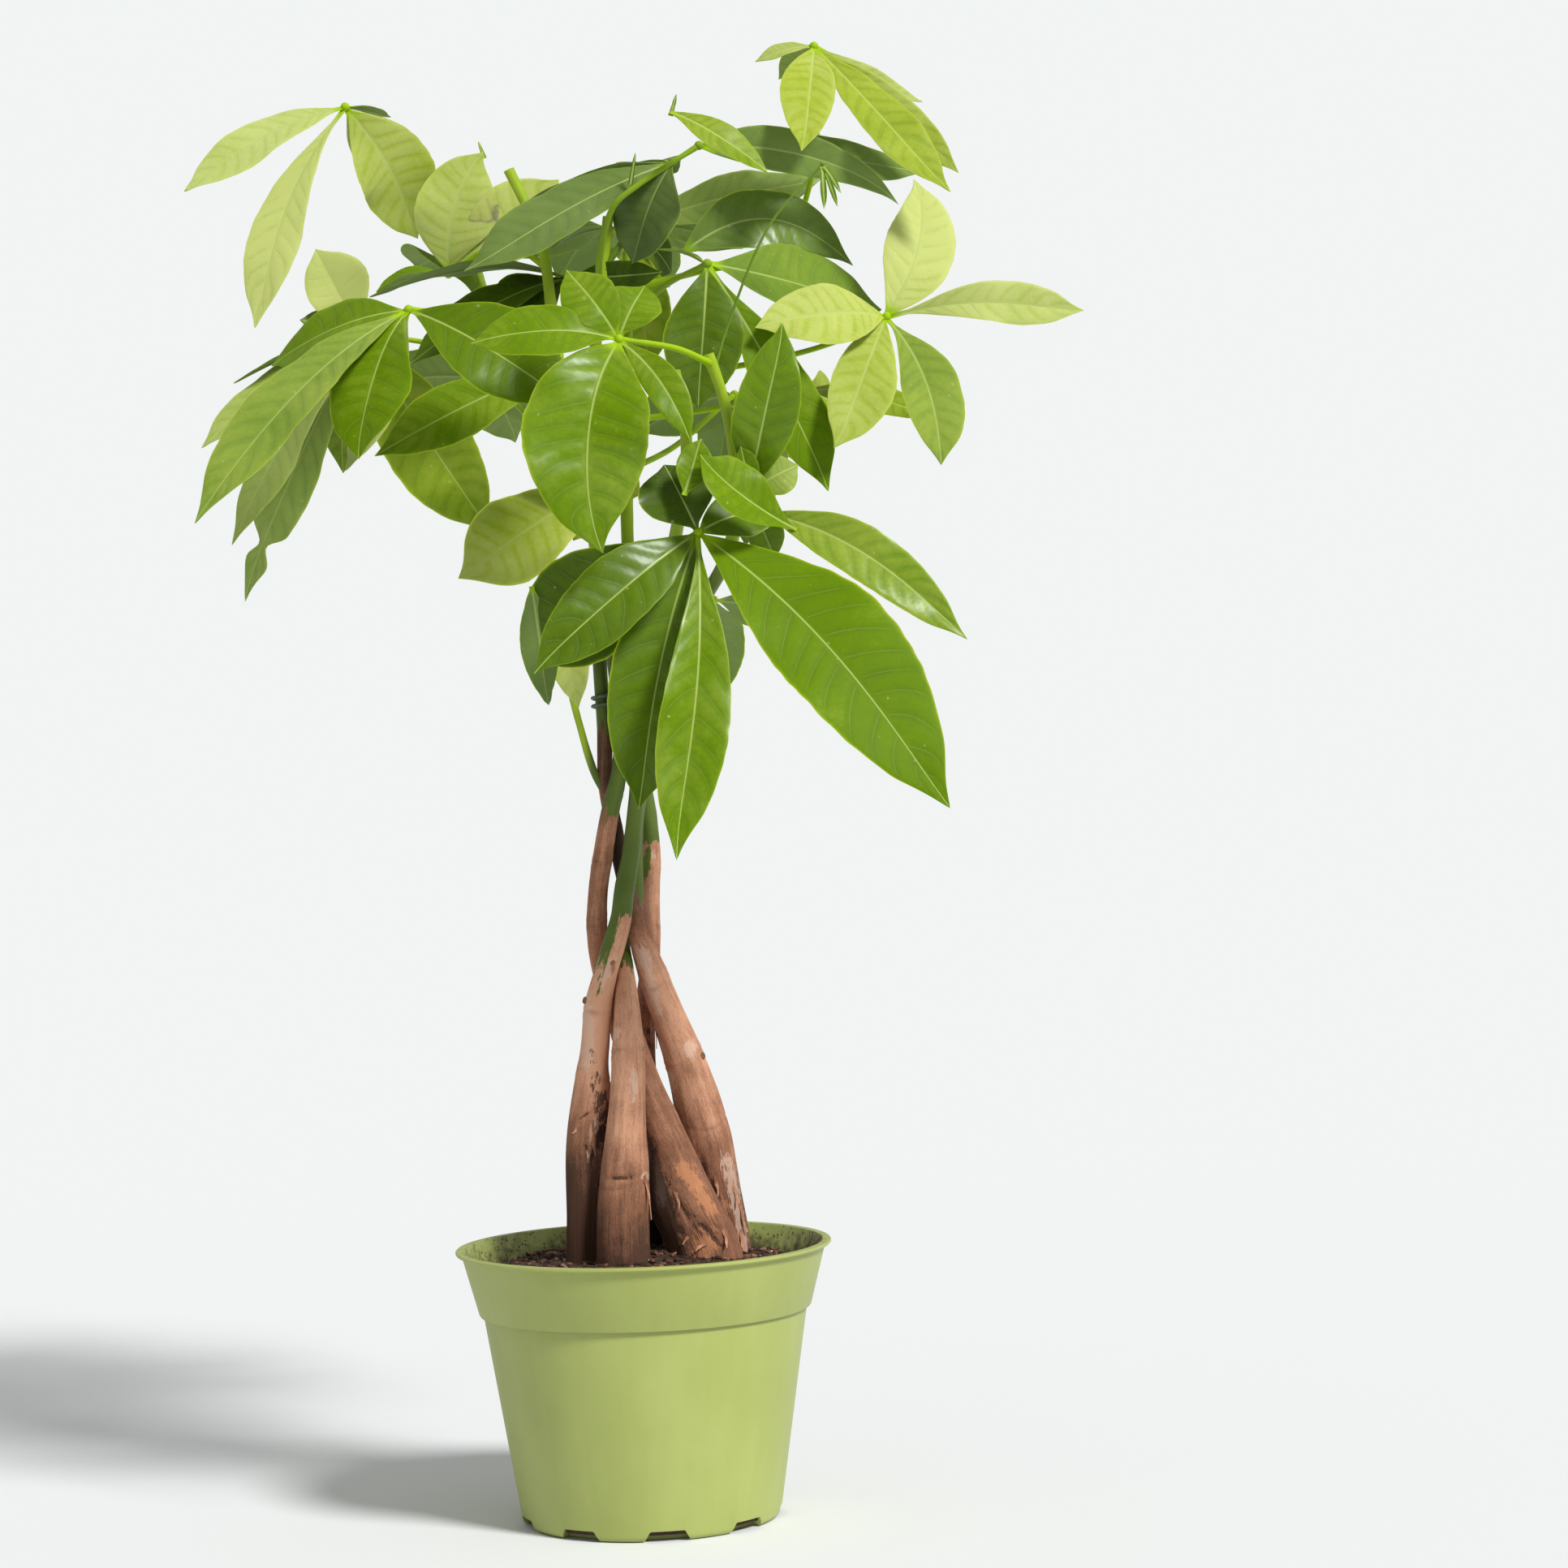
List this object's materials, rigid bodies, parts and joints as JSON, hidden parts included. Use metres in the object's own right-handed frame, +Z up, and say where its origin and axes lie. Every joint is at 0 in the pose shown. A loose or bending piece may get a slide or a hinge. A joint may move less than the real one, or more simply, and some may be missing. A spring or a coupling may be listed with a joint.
{
  "type": "potted money tree",
  "caption": "Potted money tree: braided woody stems rise from dark soil in a tapered green nursery pot and carry palmate leaves of pointed, arched leaflets.",
  "frame": {"origin": "middle of the pot base, on the surface that the pot stands on", "axes": "+Z up along the pot axis, -Y towards the side that the picture shows, +X to its right"},
  "size_m": [0.3901, 0.3302, 0.6456],
  "materials": {
    "pot_plastic": "satin moulded plastic",
    "soil": "loose damp potting mix",
    "bark": "rough bark, green above",
    "tie_plastic": "satin plastic",
    "leaf": "glossy leaf"
  },
  "bodies": {
    "root": {"pot": "pot_plastic", "soil": "soil", "stem_left": "bark", "stem_front": "bark", "stem_centre": "bark", "stem_right": "bark", "stem_back": "bark", "twist_tie": "tie_plastic", "leaf_top_left": "leaf", "leaf_left_upper": "leaf", "leaf_left_back": "leaf", "leaf_left_front": "leaf", "leaf_left_inner": "leaf", "leaf_centre_left": "leaf", "leaf_centre_low": "leaf", "leaf_top_centre": "leaf", "leaf_top_inner": "leaf", "leaf_top_bright": "leaf", "leaf_top_right": "leaf", "leaf_young": "leaf", "leaf_right_inner": "leaf", "leaf_right": "leaf", "leaf_right_back": "leaf", "leaf_front": "leaf", "leaf_right_upright": "leaf", "leaf_low_front": "leaf", "leaf_side_shoot": "leaf", "leaf_back_high": "leaf", "leaf_back_left": "leaf", "leaf_back_right": "leaf", "leaf_back_low": "leaf"}
  },
  "joints": []
}
